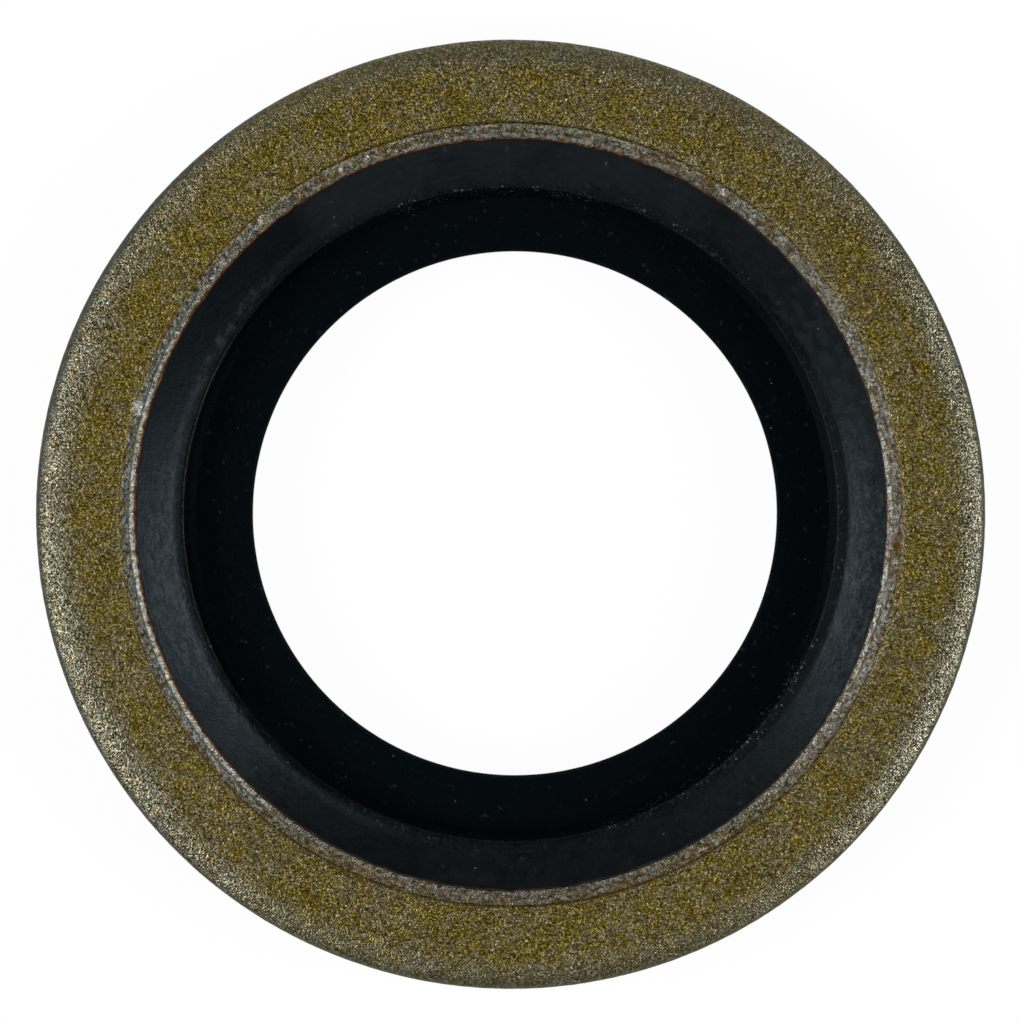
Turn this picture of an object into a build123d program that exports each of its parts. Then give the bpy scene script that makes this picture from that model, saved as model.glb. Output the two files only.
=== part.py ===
from build123d import *

import os

# Bonded sealing washer, self-centring pattern, for a G 1/4 port thread.
#
# A blanked steel ring carries a moulded elastomer seal in its bore. The elastomer has a
# trapezoidal lip on each face, which stands proud of the steel and is squeezed flat when the
# joint is tightened, and a thin web across the middle of the bore, which grips the thread and
# keeps the washer central. The steel is the hard stop that limits the squeeze.
#
# Millimetres. +Z is the washer's axis, and the side with the rolled edge faces up. The origin is
# on the axis, in the plane that the lower lip rests on.

# ---------------------------------------------------------------- driving sizes: steel ring
ring_outer_diameter = 20.57
ring_width = 2.125  # across one side of the ring, from its outer wall to its bore
ring_thickness = 2.03

# Die roll: the edge that the blanking die drags down, a flat quarter ellipse in section.
die_roll_width = 0.70
die_roll_depth = 0.25

# Fracture zone: below the sheared band the outer wall tears and leans inwards.
fracture_height = 0.62
fracture_lean = 0.04
burr_break = 0.06  # the burr, tumbled to a small chamfer

# Shut-off land: the mould closes on a narrow ring of each face and coins it down a little.
land_width = 0.31
land_depth = 0.05

# Pierce burr: the piercing punch raises the upper edge of the bore. The mould leaves it standing as
# a low ridge, which slopes down outwards and stays below the ring's face.
pierce_burr_width = 0.12
pierce_burr_height = 0.044

# ---------------------------------------------------------------- driving sizes: elastomer seal
lip_height = 0.35  # how far each crest stands proud of the steel's face
lip_band_width = 1.29  # from the steel's bore in to the throat, the foot of the inner walls
crest_width = 0.15  # the flat on top of each lip
throat_lean = 0.26  # how far an inner wall leans out between its foot and its crest
web_reach = 1.18  # from the throat in to the web's free edge
web_thickness = 0.50
web_root_radius = 0.15  # fillet where a lip's inner wall meets the web
web_edge_break = 0.06  # bevel of the web's free edge

# ---------------------------------------------------------------- derived places
# Radii, each from the wall outside it, so that the whole section follows the outer diameter.
ring_outer_radius = ring_outer_diameter / 2
roll_start_radius = ring_outer_radius - die_roll_width
ring_bore_radius = ring_outer_radius - ring_width  # 16.32 across
land_radius = ring_bore_radius + land_width
throat_radius = ring_bore_radius - lip_band_width  # 13.74 across
crest_inner_radius = throat_radius + throat_lean
crest_outer_radius = crest_inner_radius + crest_width
web_bore_radius = throat_radius - web_reach  # 11.38 across

# Heights, upwards from the plane that the washer rests on.
seal_bottom = 0
ring_bottom = seal_bottom + lip_height
ring_top = ring_bottom + ring_thickness
seal_top = ring_top + lip_height
lower_land = ring_bottom + land_depth
upper_land = ring_top - land_depth
burr_top = upper_land + pierce_burr_height
middle = ring_bottom + ring_thickness / 2
web_bottom = middle - web_thickness / 2
web_top = middle + web_thickness / 2

# ---------------------------------------------------------------- steel ring
with BuildPart() as metal_ring:
    with BuildSketch(Plane.XZ) as ring_section:
        with BuildLine() as ring_outline:
            # upper face, from the pierce burr over the shut-off land to the die roll
            Polyline(
                (ring_bore_radius, burr_top),
                (ring_bore_radius + pierce_burr_width, upper_land),
                (land_radius, upper_land),
                (land_radius, ring_top),
                (roll_start_radius, ring_top),
            )
            EllipticalCenterArc(
                (roll_start_radius, ring_top - die_roll_depth),
                x_radius=die_roll_width,
                y_radius=die_roll_depth,
                start_angle=0,
                arc_size=90,
            )
            # sheared wall, fracture zone, lower face and bore
            Polyline(
                (ring_outer_radius, ring_top - die_roll_depth),
                (ring_outer_radius, ring_bottom + fracture_height),
                (ring_outer_radius - fracture_lean, ring_bottom + burr_break),
                (ring_outer_radius - fracture_lean - burr_break, ring_bottom),
                (land_radius, ring_bottom),
                (land_radius, lower_land),
                (ring_bore_radius, lower_land),
                (ring_bore_radius, burr_top),
            )
        make_face()
    revolve(axis=Axis.Z)

metal_ring.part.label = "metal_ring"

# ---------------------------------------------------------------- elastomer seal
# Bonded to the bore wall with no clearance: its outer wall is the bore wall itself, and its
# flanks start where the steel's wall ends, at the lower land and at the top of the pierce burr.
with BuildPart() as rubber_seal:
    with BuildSketch(Plane.XZ) as seal_section:
        with BuildLine() as seal_outline:
            Polyline(
                (ring_bore_radius, burr_top),
                (crest_outer_radius, seal_top),
                (crest_inner_radius, seal_top),
                (throat_radius, web_top),
                (web_bore_radius, web_top),
                (web_bore_radius, web_bottom),
                (throat_radius, web_bottom),
                (crest_inner_radius, seal_bottom),
                (crest_outer_radius, seal_bottom),
                (ring_bore_radius, lower_land),
                close=True,
            )
        make_face()
        web_roots = seal_section.vertices().group_by(Axis.X)[1]
        fillet(web_roots, radius=web_root_radius)
        web_edges = seal_section.vertices().group_by(Axis.X)[0]
        chamfer(web_edges, length=web_edge_break)
    revolve(axis=Axis.Z)

rubber_seal.part.label = "rubber_seal"

# ---------------------------------------------------------------- export
os.makedirs("parts", exist_ok=True)
for piece in (metal_ring, rubber_seal):
    export_step(piece.part, f"parts/{piece.part.label}.step")
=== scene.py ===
"""A bonded sealing washer, dressed: a blasted and plated steel ring with a moulded rubber seal.

Each piece is lathed ring by ring from its section, then gets the small relief of its surface: grit
blasting on the steel, coined lands beside the seal, and the trimmed crests of the rubber lips.
"""

import logging
import math
from collections.abc import Callable, Iterator
from dataclasses import dataclass, field
from enum import Enum
from itertools import pairwise
from typing import NamedTuple

import bpy
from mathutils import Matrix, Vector, noise


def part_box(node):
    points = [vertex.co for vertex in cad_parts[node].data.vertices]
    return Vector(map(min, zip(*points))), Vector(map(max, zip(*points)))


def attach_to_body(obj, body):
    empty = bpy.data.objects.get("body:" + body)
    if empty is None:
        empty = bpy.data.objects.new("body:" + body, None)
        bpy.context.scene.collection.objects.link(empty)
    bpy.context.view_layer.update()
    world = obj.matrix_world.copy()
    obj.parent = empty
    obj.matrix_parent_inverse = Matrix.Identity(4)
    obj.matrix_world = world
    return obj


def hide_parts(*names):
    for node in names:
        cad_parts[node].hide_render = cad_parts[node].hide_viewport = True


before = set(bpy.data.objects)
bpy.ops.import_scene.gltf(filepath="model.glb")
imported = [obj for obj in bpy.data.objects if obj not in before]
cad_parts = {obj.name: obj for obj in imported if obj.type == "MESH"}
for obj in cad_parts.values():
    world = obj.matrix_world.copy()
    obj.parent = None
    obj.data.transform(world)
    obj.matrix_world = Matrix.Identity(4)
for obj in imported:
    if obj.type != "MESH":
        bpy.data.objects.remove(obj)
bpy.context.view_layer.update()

MM = 0.001
MICRON = 0.000001
WHOLE_TURN = 360.0

Colour = tuple[float, float, float, float]
Stretch = tuple[float, float, float, float]
Socket = bpy.types.NodeSocket

WHITE: Colour = (1.0, 1.0, 1.0, 1.0)

log = logging.getLogger("bonded_washer")


class Slot(Enum):
    """Names for the material slots of the washer's steel and rubber."""

    STEEL = "plated_steel"
    RUBBER = "seal_rubber"


class Mark(Enum):
    """What a point of a surface carries, painted on the mesh for its finish to read."""

    COINED = "coined"
    # Rubbed grey on the rolled edge, and painted highlight on its lamp sides.
    ROLLED = "rolled"
    STAINED = "stained"
    # Bare steel, and painted highlight on the burr, on the rubber crest and on the bond line.
    BARE = "bare"
    SILVERED = "silvered"
    # Painted shade in the steel's crease and on the rubber's crest; dirt, pits and film on the land.
    CREASED = "creased"
    # Painted shade at the roll's very edge, and painted shade and dirt at the burr's foot.
    RIM = "rim"
    # Grey bloom on the rubber, and painted light on the left flank and the right crest.
    BLOOM = "bloom"
    # Dullness of the rubber, and painted shade on its right flank.
    DULL = "dull"
    REDDENED = "reddened"
    TORN = "torn"
    SCUFFED = "scuffed"
    MOTTLED = "mottled"
    SHEARED = "sheared"
    MATTE = "matte"
    FADED = "faded"


# ------------------------------------------------------------------------------ small helpers


def tone(red: float, green: float, blue: float) -> Colour:
    """Turns a screen's colour, from 0 to 255, into the opaque linear one that a shader takes."""
    linear = [((value / 255 + 0.055) / 1.055) ** 2.4 for value in (red, green, blue)]
    return (*linear, 1.0)


def ease(low: float, high: float, value: float) -> float:
    """Rises smoothly from 0 at one value to 1 at another, or falls where the first is the greater."""
    share = min(1.0, max(0.0, (value - low) / (high - low)))
    return share * share * (3 - 2 * share)


def near(value: float, middle: float, full: float, none: float) -> float:
    """Gives 1 within a full distance of a middle, and falls smoothly to 0 at a larger one."""
    return ease(none, full, abs(value - middle))


def turn_between(first: float, second: float) -> float:
    """Measures the shorter way round between two azimuths, from 0 to 180 degrees."""
    apart = abs(first - second) % WHOLE_TURN
    return min(apart, WHOLE_TURN - apart)


@dataclass(frozen=True)
class Arc:
    """A stretch of the circle, and how strong a mark is along it.

    Attributes:
        middle: The middle of the stretch in degrees.
        half_width: Half the length of the stretch in degrees.
        fade: The length of the soft end in degrees, outside the stretch.
        strength: The mark's strength inside the stretch.
    """

    middle: float
    half_width: float
    fade: float
    strength: float = 1.0

    def at(self, place: "Place") -> float:
        """Gives the strength at a place, which is 0 past the soft ends."""
        apart = turn_between(place.azimuth, self.middle)
        return self.strength * ease(self.half_width + self.fade, self.half_width, apart)


Arcs = tuple[Arc, ...]


def strongest(place: "Place", arcs: Arcs, least: float = 0.0) -> float:
    """Gives the strength of the strongest arc at a place, or the least that there is."""
    return max(least, *(arc.at(place) for arc in arcs))


def total(place: "Place", arcs: Arcs, base: float) -> float:
    """Adds the strengths of all the arcs at a place to a base."""
    return sum((arc.at(place) for arc in arcs), base)


@dataclass(frozen=True)
class Place:
    """A point of a piece, in the washer's frame.

    Attributes:
        point: The point in metres.
        radius: Its distance from the axis.
        azimuth: Its degrees from +X towards +Y, from 0 to 360.
        height: Its height.
    """

    point: Vector
    radius: float
    azimuth: float
    height: float

    @classmethod
    def of(cls, point: Vector) -> "Place":
        """Works out a point's place."""
        azimuth = math.degrees(math.atan2(point.y, point.x)) % WHOLE_TURN
        return cls(point.copy(), point.xy.length, azimuth, point.z)

    def cloud(self, cell: float, shift: tuple[float, float, float] = (0, 0, 0)) -> float:
        """Gives a cloudy value here, from -1 to 1, for cells of a size and a shift of the pattern."""
        return noise.noise(self.point / cell + Vector(shift))


Share = Callable[[Place], float]


# ------------------------------------------------------------------------------ lathe


class Station(NamedTuple):
    """One ring of a lathed shell: its size, its height and its share of the mould's shift."""

    radius: float
    height: float
    sway: float = 0.0

    def pulled(self, *pulls: tuple["Station", float]) -> "Station":
        """Moves the station a share of the way to each of some others.

        Args:
            pulls: The other stations, each with its share.

        Returns:
            The station in between.
        """
        values = list(self)
        for other, share in pulls:
            values = [value + (far - own) * share for value, far, own in zip(values, other, self)]
        return Station(*values)


@dataclass(frozen=True)
class Lathe:
    """Makes a closed shell out of rings, each extruded from the one before.

    Attributes:
        segments: The number of vertices in each ring.
        shift: How far a ring with a sway of 1 lies off the axis, along X and Y.
    """

    segments: int
    shift: tuple[float, float] = (0.0, 0.0)

    def turn(self, name: str, stations: list[Station]) -> bpy.types.Object:
        """Lathes a shell through its stations and closes it onto the first.

        Args:
            name: The new piece's name.
            stations: The section's points in order, without repeating the first.

        Returns:
            The new piece, with its normals outwards.
        """
        first = stations[0]
        bpy.ops.object.select_all(action="DESELECT")
        bpy.ops.mesh.primitive_circle_add(vertices=self.segments, radius=first.radius, fill_type="NOTHING")
        piece = name_active(name)
        bpy.ops.object.mode_set(mode="EDIT")
        bpy.ops.mesh.select_all(action="SELECT")
        bpy.ops.transform.translate(value=(*self.centre(first), first.height))
        for before, after in pairwise(stations):
            self.draw_ring(before, after)
        bpy.ops.object.mode_set(mode="OBJECT")
        self.close(piece, len(stations))
        return piece

    def centre(self, station: Station) -> tuple[float, float]:
        """Gives the place of a ring's centre, along X and Y."""
        return (self.shift[0] * station.sway, self.shift[1] * station.sway)

    def draw_ring(self, before: Station, after: Station) -> None:
        """Extrudes the selected ring into the next one.

        Args:
            before: The ring that is selected.
            after: The ring to make.
        """
        old_x, old_y = self.centre(before)
        new_x, new_y = self.centre(after)
        growth = after.radius / before.radius
        step = (new_x - old_x, new_y - old_y, after.height - before.height)
        bpy.ops.mesh.extrude_region_move(TRANSFORM_OT_translate={"value": step})
        bpy.ops.transform.resize(value=(growth, growth, 1), center_override=(new_x, new_y, 0))

    def close(self, piece: bpy.types.Object, rings: int) -> None:
        """Bridges the last ring back to the first and turns every face outwards.

        Args:
            piece: The lathed piece.
            rings: The number of its rings.
        """
        last = self.segments * (rings - 1)
        for vertex in piece.data.vertices:
            vertex.select = vertex.index < self.segments or vertex.index >= last
        for edge in piece.data.edges:
            edge.select = max(edge.vertices) < self.segments or min(edge.vertices) >= last
        for polygon in piece.data.polygons:
            polygon.select = False
        bpy.ops.object.mode_set(mode="EDIT")
        bpy.ops.mesh.select_mode(type="EDGE")
        bpy.ops.mesh.bridge_edge_loops()
        bpy.ops.mesh.select_mode(type="VERT")
        bpy.ops.mesh.select_all(action="SELECT")
        bpy.ops.mesh.normals_make_consistent(inside=False)
        bpy.ops.mesh.select_all(action="DESELECT")
        bpy.ops.object.mode_set(mode="OBJECT")


def straight(start: Station, end: Station, steps: int) -> Iterator[Station]:
    """Divides a straight stretch into even steps, from just after its start to its end."""
    for step in range(1, steps + 1):
        yield start.pulled((end, step / steps))


def rounded(start: Station, corner: Station, end: Station, steps: int) -> Iterator[Station]:
    """Rounds a corner of a section with a quarter of an ellipse.

    Args:
        start: The station before the corner, which isn't given again.
        corner: The sharp corner that the round replaces.
        end: The last station of the round.
        steps: The number of stations to give.

    Yields:
        The stations from just after the start to the end.
    """
    for step in range(1, steps + 1):
        angle = math.radians(90) * step / steps
        yield corner.pulled((start, 1 - math.sin(angle)), (end, 1 - math.cos(angle)))


def walked(start: list[Station], *legs: tuple[Station, int]) -> list[Station]:
    """Walks on along straight legs.

    Args:
        start: The stations so far.
        legs: The end of each leg, with the number of its steps.

    Returns:
        The stations so far and the new ones.
    """
    path = list(start)
    for end, steps in legs:
        path += straight(path[-1], end, steps)
    return path


def name_active(name: str) -> bpy.types.Object:
    """Names the active object and its mesh, and gives the object."""
    piece = bpy.context.active_object
    piece.name = piece.data.name = name
    return piece


def paint(piece: bpy.types.Object, marks: dict[Mark, Share]) -> list[Place]:
    """Paints marks on a piece as a value at each vertex.

    Args:
        piece: The piece to paint.
        marks: What gives each mark's strength at a place.

    Returns:
        The places of the vertices.
    """
    places = [Place.of(vertex.co) for vertex in piece.data.vertices]
    for mark, share_at in marks.items():
        attribute = piece.data.attributes.new(mark.value, "FLOAT", "POINT")
        attribute.data.foreach_set("value", [share_at(place) for place in places])
    return places


def raise_relief(piece: bpy.types.Object, places: list[Place], height_at: Share) -> None:
    """Moves each vertex of a piece along its normal.

    Args:
        piece: The piece to work on.
        places: The places of its vertices.
        height_at: Gives the height of the relief at a place, in metres.
    """
    vertices = piece.data.vertices
    moves = [vertex.normal * height_at(place) for vertex, place in zip(vertices, places)]
    for vertex, move in zip(vertices, moves):
        vertex.co += move
    piece.data.update()


def smooth(piece: bpy.types.Object, edge_angle: float, material: bpy.types.Material) -> None:
    """Shades a piece smoothly, apart from its sharp edges, and gives it its material.

    Args:
        piece: The piece to shade.
        edge_angle: The angle in degrees past which an edge stays sharp.
        material: The piece's only material.
    """
    bpy.ops.object.select_all(action="DESELECT")
    piece.select_set(True)
    bpy.context.view_layer.objects.active = piece
    bpy.ops.object.shade_smooth_by_angle(angle=math.radians(edge_angle))
    piece.data.materials.append(material)


# ------------------------------------------------------------------------------ material recipes


@dataclass(frozen=True)
class Pattern:
    """A cloudy pattern, and the range that it is stretched to.

    Attributes:
        scale: Its cells in a metre.
        detail: How many finer octaves it holds.
        stretch: The raw values at the ends of the range, and the results there.
    """

    scale: float
    detail: float
    stretch: Stretch


class Nodes:
    """A node tree, with short ways to add the few kinds of node that the washer uses."""

    def __init__(self, tree: bpy.types.NodeTree) -> None:
        """Empties a tree to start from."""
        self.tree = tree
        tree.nodes.clear()

    def feed(self, socket: Socket, value: object) -> None:
        """Gives an input either a link or a fixed value.

        Args:
            socket: The input.
            value: Another node's output, or a plain value.
        """
        if isinstance(value, Socket):
            self.tree.links.new(value, socket)
        else:
            socket.default_value = value

    def add(self, kind: str, inputs: dict[str | int, object], **settings: str) -> bpy.types.Node:
        """Adds a node.

        Args:
            kind: The node's kind, without the usual start of its name.
            inputs: A link or a value for each input, by its name or number.
            settings: The node's own settings.

        Returns:
            The node.
        """
        node = self.tree.nodes.new("ShaderNode" + kind)
        for name, setting in settings.items():
            setattr(node, name, setting)
        for key, value in inputs.items():
            self.feed(node.inputs[key], value)
        return node

    def spread(
        self, value: object, low: float, high: float, first: object = 0.0, last: float = 1.0,
        interpolation: str = "LINEAR",
    ) -> Socket:
        """Stretches a part of a value's range over another range, and clamps it.

        Args:
            value: The value to stretch.
            low: The value that becomes the first result.
            high: The value that becomes the last result.
            first: The result at the low end.
            last: The result at the high end.
            interpolation: How the result runs between them.

        Returns:
            The stretched value.
        """
        names = ("Value", "From Min", "From Max", "To Min", "To Max")
        inputs = dict(zip(names, (value, low, high, first, last)))
        return self.add("MapRange", inputs, interpolation_type=interpolation).outputs["Result"]

    def math(self, operation: str, *values: object) -> Socket:
        """Adds a sum of up to three values, and gives its result."""
        return self.add("Math", dict(enumerate(values)), operation=operation).outputs["Value"]


class Recipe(Nodes):
    """A piece's material: one shader, and short ways to colour it."""

    def __init__(self, name: str) -> None:
        """Starts a material with its shader and output.

        Args:
            name: The material's name.
        """
        self.material = bpy.data.materials.new(name)
        self.material.use_nodes = True
        super().__init__(self.material.node_tree)
        self.shader = self.add("BsdfPrincipled", {})
        self.add("OutputMaterial", {"Surface": self.shader.outputs["BSDF"]})
        self.place = self.add("TexCoord", {}).outputs["Object"]

    def noise(self, scale: float, detail: float, place: Socket | None = None) -> Socket:
        """Adds a cloudy pattern, about 0.5 on average, at the piece's own place or another."""
        where = self.place if place is None else place
        return self.add("TexNoise", {"Vector": where, "Scale": scale, "Detail": detail}).outputs["Fac"]

    def cloud(self, pattern: Pattern, place: Socket | None = None) -> Socket:
        """Adds a pattern stretched to its range, at the piece's own place or another."""
        return self.spread(self.noise(pattern.scale, pattern.detail, place), *pattern.stretch)

    def cells(self, scale: float) -> tuple[Socket, Socket]:
        """Adds scattered cells, and gives the distance from each one's middle and its random colour."""
        node = self.add("TexVoronoi", {"Vector": self.place, "Scale": scale})
        return node.outputs["Distance"], node.outputs["Color"]

    def mix(self, share: object, first: object, second: object) -> Socket:
        """Mixes two colours.

        Args:
            share: The second colour's share, from 0 to 1.
            first: The first colour.
            second: The second colour.

        Returns:
            The mixed colour.
        """
        node = self.add("Mix", {}, data_type="RGBA")
        self.feed(node.inputs["Factor"], share)
        for socket, colour in zip([s for s in node.inputs if s.type == "RGBA"], (first, second)):
            self.feed(socket, colour)
        return next(socket for socket in node.outputs if socket.type == "RGBA")

    def mark(self, mark: Mark) -> Socket:
        """Reads the strength of a mark that is painted on the piece."""
        return self.add("Attribute", {}, attribute_name=mark.value).outputs["Fac"]

    def layer(self, under: object, mark: Mark, over: object, pattern: Socket | None = None) -> Socket:
        """Lays a colour over another where a mark is painted.

        Args:
            under: The colour so far.
            mark: The mark.
            over: The colour that the mark brings.
            pattern: What the mark's strength is multiplied by, if it isn't even.

        Returns:
            The layered colour.
        """
        share = self.mark(mark)
        if pattern is not None:
            share = self.math("MULTIPLY", share, pattern)
        return self.mix(share, under, over)

    def around(self, stretch: float) -> Socket:
        """Gives the place in rings about the axis, for marks that run round the washer.

        Args:
            stretch: The radius that the whole turn is squeezed to. A small one makes long marks.

        Returns:
            The squeezed turn as two values, and the way across the rings as the third.
        """
        split = self.add("SeparateXYZ", {"Vector": self.place})
        across, along, height = (split.outputs[name] for name in "XYZ")
        squares = [self.math("MULTIPLY", side, side) for side in (across, along)]
        radius = self.math("SQRT", self.math("ADD", *squares))
        squeeze = self.math("DIVIDE", stretch, radius)
        squeezed = {
            "X": self.math("MULTIPLY", across, squeeze),
            "Y": self.math("MULTIPLY", along, squeeze),
            "Z": self.math("ADD", radius, height),
        }
        return self.add("CombineXYZ", squeezed).outputs["Vector"]

    def upright(self, stretch: float) -> Socket:
        """Gives the place with its height squeezed, for marks that run up and down a wall."""
        inputs = {0: self.place, 1: (1.0, 1.0, stretch)}
        return self.add("VectorMath", inputs, operation="MULTIPLY").outputs["Vector"]

    def bump(self, height: Socket, depth: float) -> None:
        """Gives the shader a fine relief, from a pattern and its full height in metres."""
        node = self.add("Bump", {"Strength": 1.0, "Distance": depth, "Height": height})
        self.feed(self.shader.inputs["Normal"], node.outputs["Normal"])

    def set(self, **values: object) -> None:
        """Sets the shader's inputs by name, with a low line for each space."""
        for name, value in values.items():
            self.feed(self.shader.inputs[name.replace("_", " ")], value)


@dataclass(frozen=True)
class PlatedSteelFinish:
    """Grit-blasted steel with a thin olive-yellow passivated zinc plating.

    The blast leaves a grain of about 0.06 mm. Its hollows keep the brown of the passivation, and its
    tops are rubbed to a grey that shows most on the rolled edge and on the coined lands. The brightest
    tops take a painted glint; the roll's grey and the burr's bare steel are brightened as painted
    highlight on the lamp sides, and the crease and the roll's very edge take painted shade.
    """

    face_low: Colour = tone(54, 42, 0)
    face_gold: Colour = tone(180, 146, 56)
    face_green: Colour = tone(144, 149, 68)
    face_grey: Colour = tone(149, 143, 116)
    glint: Colour = tone(172, 166, 134)
    roll_low: Colour = tone(38, 30, 0)
    # The rolled edge's rubbed greys, which on the lamp sides also stand in for highlight.
    roll_cool: Colour = tone(194, 208, 192)
    roll_warm: Colour = tone(216, 198, 166)
    land_low: Colour = tone(40, 30, 8)
    land_top: Colour = tone(158, 147, 108)
    silver: Colour = tone(168, 180, 182)
    # Bare steel grey, also the painted highlight on the burr and along the land's edge.
    bare: Colour = tone(172, 172, 166)
    stain: Colour = tone(92, 66, 22)
    # Painted shade and dirt for the crease at the land's edge.
    crease: Colour = tone(78, 56, 22)
    # Painted shade for the roll's very edge and the burr's foot.
    rim: Colour = tone(42, 46, 32)
    dragged: Colour = tone(176, 172, 142)
    matte_warm: Colour = tone(112, 100, 65)
    matte_cool: Colour = tone(101, 99, 81)
    grain_scale: float = 24500.0
    grain_depth: float = 22 * MICRON
    dent_scale: float = 19000.0
    dent_depths: Stretch = (0.0, 1.0, 0.2, 0.8)
    blast_share: float = 0.7
    hue_scale: float = 10500.0
    patch_scale: float = 1500.0
    ring_scale: float = 15000.0
    ring_turn: float = 5.0 * MM
    ring_share: float = 0.58
    tint: Pattern = Pattern(12600.0, 1.0, (0.35, 0.65, 0.0, 1.0))
    middling: Pattern = Pattern(5250.0, 1.0, (0.25, 0.75, -0.6, 0.6))
    silvering: Pattern = Pattern(3800.0, 2.0, (0.38, 0.66, 0.0, 0.7))
    blotches: Pattern = Pattern(7000.0, 2.0, (0.35, 0.6, 0.4, 1.0))
    crumbs: Pattern = Pattern(13000.0, 1.0, (0.39, 0.61, 0.0, 1.6))
    drags: Pattern = Pattern(26000.0, 3.0, (0.38, 0.68, 0.0, 0.36))
    drag_squeeze: float = 0.04
    patch_wear: Stretch = (0.3, 0.7, -0.37, 0.27)
    patch_level: Stretch = (0.3, 0.7, -0.014, 0.014)
    hue_wear: Stretch = (0.3, 0.7, 0.2, 0.8)
    hue_tints: Stretch = (0.38, 0.62, -0.5, 0.5)
    hue_roughness: Stretch = (0.3, 0.7, 0.33, 0.46)
    grain_glint: Stretch = (0.57, 0.72, 0.0, 1.0)
    grain_level: Stretch = (0.30, 0.72, 0.0, 1.0)
    land_level: Stretch = (0.27, 0.73, 0.0, 1.0)
    land_sharpness: float = 1.9
    roll_sharpness: Stretch = (0.0, 1.0, 1.7, 2.3)
    roll_gloss: Stretch = (0.0, 1.0, 1.0, 0.86)
    rim_metal: Stretch = (0.0, 1.0, 1.0, 0.2)

    def plating(self, recipe: Recipe, grain: Socket, hue: Socket) -> Socket:
        """Colours the blasted face and the rolled edge.

        Args:
            recipe: The material's recipe.
            grain: The pattern of the blast.
            hue: The pattern of the passivation's tint.

        Returns:
            The colour.
        """
        rolled = recipe.mark(Mark.ROLLED)
        patches = recipe.noise(self.patch_scale, 2.0)
        top = recipe.mix(recipe.cloud(self.tint), self.face_gold, self.face_green)
        worn = recipe.spread(patches, *self.patch_wear)
        for part in (
            recipe.spread(hue, *self.hue_wear), recipe.cloud(self.middling), recipe.mark(Mark.FADED)
        ):
            worn = recipe.math("ADD", worn, part)
        top = recipe.mix(worn, top, self.face_grey)
        # Painted glint: the brightest grain tops are whitened in the colour.
        top = recipe.mix(recipe.spread(grain, *self.grain_glint), top, self.glint)
        tints = recipe.spread(hue, *self.hue_tints)
        tints = recipe.math("MULTIPLY_ADD", tints, recipe.mark(Mark.MOTTLED), 0.5)
        # On the rolled edge the rubbed grey, brightest on the lamp sides, is partly painted highlight.
        top = recipe.mix(rolled, top, recipe.mix(tints, self.roll_warm, self.roll_cool))
        low = recipe.mix(rolled, self.face_low, self.roll_low)
        level = recipe.math("ADD", grain, recipe.spread(patches, *self.patch_level))
        sharpness = recipe.spread(rolled, *self.roll_sharpness)
        return recipe.mix(recipe.math("POWER", recipe.spread(level, *self.grain_level), sharpness), low, top)

    def land(self, recipe: Recipe, grain: Socket) -> Socket:
        """Colours the coined lands, where the plating is thin and streaked round the washer.

        Args:
            recipe: The material's recipe.
            grain: The pattern of the blast.

        Returns:
            The colour.
        """
        lines = recipe.noise(self.ring_scale, 1.0, recipe.around(self.ring_turn))
        lines = recipe.math("MULTIPLY", lines, self.ring_share)
        streaks = recipe.math("ADD", lines, recipe.math("MULTIPLY", grain, 1 - self.ring_share))
        silvered = recipe.math("ADD", recipe.cloud(self.silvering), recipe.mark(Mark.SILVERED))
        top = recipe.mix(silvered, self.land_top, self.silver)
        level = recipe.math("POWER", recipe.spread(streaks, *self.land_level), self.land_sharpness)
        return recipe.mix(level, self.land_low, top)

    def material(self) -> bpy.types.Material:
        """Builds the material.

        Returns:
            The material, for the whole steel ring.
        """
        recipe = Recipe("olive_plated_steel")
        blast = recipe.noise(self.grain_scale, 1.0)
        dent = recipe.spread(recipe.cells(self.dent_scale)[1], *self.dent_depths)
        dent = recipe.math("MULTIPLY", dent, 1 - self.blast_share)
        grain = recipe.math("ADD", recipe.math("MULTIPLY", blast, self.blast_share), dent)
        hue = recipe.noise(self.hue_scale, 1.0)
        matte = recipe.mix(recipe.spread(hue, *self.hue_tints[:2]), self.matte_warm, self.matte_cool)
        drags = recipe.cloud(self.drags, recipe.upright(self.drag_squeeze))

        colour = self.plating(recipe, grain, hue)
        colour = recipe.layer(colour, Mark.MATTE, matte)
        colour = recipe.layer(colour, Mark.COINED, self.land(recipe, grain))
        # Bare steel, and painted highlight on the burr's slope and along the land's edge.
        colour = recipe.layer(colour, Mark.BARE, self.bare, recipe.cloud(self.crumbs))
        colour = recipe.layer(colour, Mark.STAINED, self.stain, recipe.cloud(self.blotches))
        # Painted shade and dirt in the crease at the land's edge, and the pits and film on the land.
        colour = recipe.layer(colour, Mark.CREASED, self.crease)
        # Painted shade at the roll's very edge, and painted shade and dirt at the burr's foot.
        colour = recipe.layer(colour, Mark.RIM, self.rim)
        colour = recipe.layer(colour, Mark.SHEARED, self.dragged, drags)

        gloss = recipe.spread(recipe.mark(Mark.ROLLED), *self.roll_gloss)
        roughness = recipe.math("MULTIPLY", recipe.spread(hue, *self.hue_roughness), gloss)
        metal = recipe.spread(recipe.mark(Mark.RIM), *self.rim_metal)
        recipe.set(Base_Color=colour, Roughness=roughness, Metallic=metal)
        recipe.bump(blast, self.grain_depth)
        return recipe.material


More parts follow.
